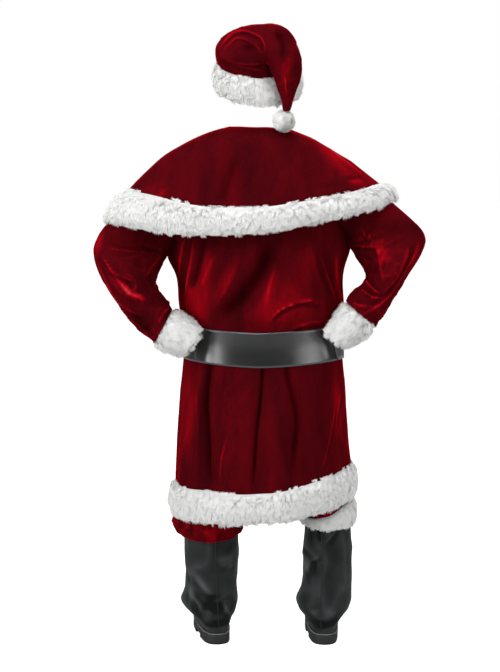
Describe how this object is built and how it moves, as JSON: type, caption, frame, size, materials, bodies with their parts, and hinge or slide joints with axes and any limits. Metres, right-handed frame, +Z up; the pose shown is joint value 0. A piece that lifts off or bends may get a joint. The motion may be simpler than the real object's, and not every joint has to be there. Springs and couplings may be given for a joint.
{
  "type": "santa suit",
  "caption": "Worn festive costume: belted velvet coat with fur-trimmed cape, cuffs and hem, trousers, fur-banded stocking hat with pompom, and boots, standing with bent arms.",
  "frame": {"origin": "middle of the coat at shoulder height, between the two shoulders of the wearer that hold it up; the soles are 1.480 m below", "axes": "+X to the wearer's right as seen from behind, +Y to the wearer's front, +Z up"},
  "size_m": [0.958, 0.4619, 1.8138],
  "materials": {
    "red_velvet": "crushed velvet",
    "white_fur": "long-pile faux fur",
    "belt_vinyl": "satin vinyl",
    "boot_vinyl": "matte vinyl",
    "sole_rubber": "matte",
    "buckle_brass": "polished plating"
  },
  "bodies": {
    "root": {"belt_buckle": "buckle_brass", "belt_prong": "buckle_brass", "belt_strap": "belt_vinyl", "belt_tail": "belt_vinyl", "boot_sole_left": "sole_rubber", "boot_sole_right": "sole_rubber", "boot_upper_left": "boot_vinyl", "boot_upper_right": "boot_vinyl", "cape": "red_velvet", "cape_fur": "white_fur", "coat_back": "red_velvet", "coat_front_left": "red_velvet", "coat_front_right": "red_velvet", "coat_hem_fur": "white_fur", "cuff_fur_left": "white_fur", "cuff_fur_right": "white_fur", "hat_band_fur": "white_fur", "hat_crown": "red_velvet", "hat_pompom": "white_fur", "sleeve_left": "red_velvet", "sleeve_right": "red_velvet", "trouser_cuff_fur_right": "white_fur", "trouser_leg_left": "red_velvet", "trouser_leg_right": "red_velvet"}
  },
  "joints": []
}
